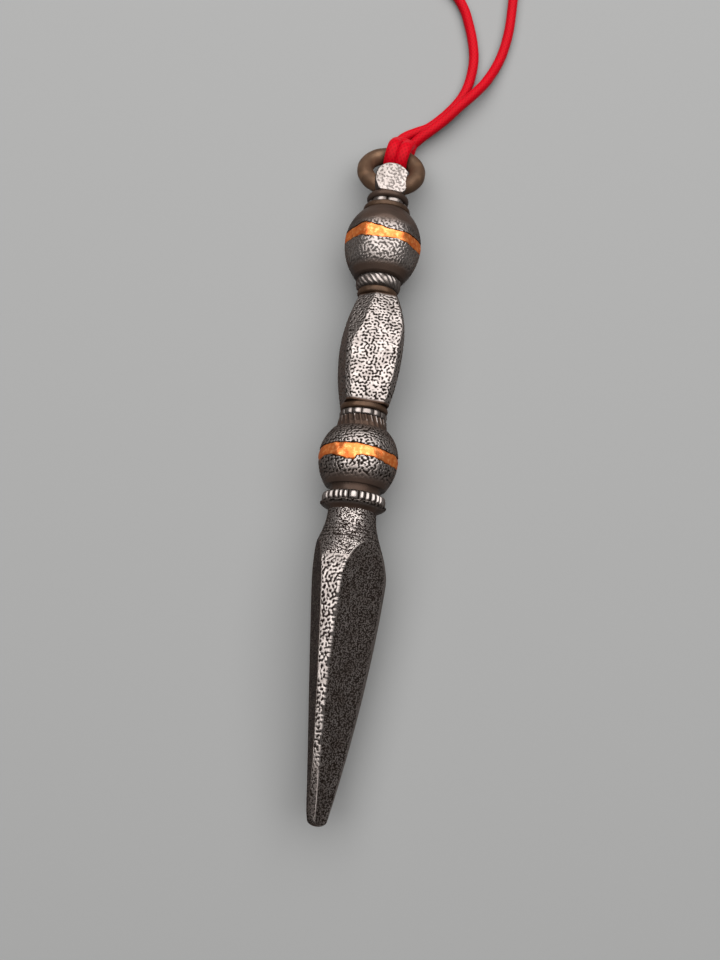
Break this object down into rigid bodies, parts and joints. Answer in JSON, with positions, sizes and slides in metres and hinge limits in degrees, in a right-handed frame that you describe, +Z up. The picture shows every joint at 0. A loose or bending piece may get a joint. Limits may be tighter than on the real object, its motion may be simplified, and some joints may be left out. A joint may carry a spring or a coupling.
{
  "type": "ritual dagger pendant",
  "caption": "Slim three-faced iron ritual dagger (phurba) pendant with turned collars, copper-inlaid knobs, faceted grip, and a swinging ring tied to a red neck cord.",
  "frame": {"origin": "on the surface that the pendant lies on, under the middle of the dagger and its ring", "axes": "+Y along the dagger from the tip to the ring, +X to the right seen from the tip, +Z up"},
  "size_m": [0.0277, 0.1569, 0.0109],
  "materials": {
    "etched_iron": "etched, bright raised network over dark pits",
    "dark_iron": "smooth brown patina",
    "copper": "hammered and rubbed copper",
    "red_cord": "satin braided cord"
  },
  "bodies": {
    "dagger": {"blade": "etched_iron", "beaded_collar": "etched_iron", "lower_knob": "etched_iron", "lower_copper_band": "copper", "fluted_skirt": "dark_iron", "bead_ring": "etched_iron", "plain_ring": "dark_iron", "grip_barrel": "etched_iron", "grip_ring": "dark_iron", "hammered_collar": "etched_iron", "upper_knob": "etched_iron", "upper_copper_band": "copper", "shoulder_cap": "dark_iron", "neck_collar": "etched_iron", "pommel_lug": "etched_iron", "cord_left_strand": "red_cord", "cord_right_strand": "red_cord", "cord_coil": "red_cord", "coil_tie": "red_cord"},
    "ring": {"suspension_ring": "dark_iron", "cord_hitch": "red_cord"}
  },
  "joints": [
    {"name": "ring_swing", "type": "hinge", "parent": "dagger", "child": "ring", "pos_m": [0, 0.04036, 0.0054], "axis": [1, 0, 0], "range_deg": [0, 130]}
  ]
}
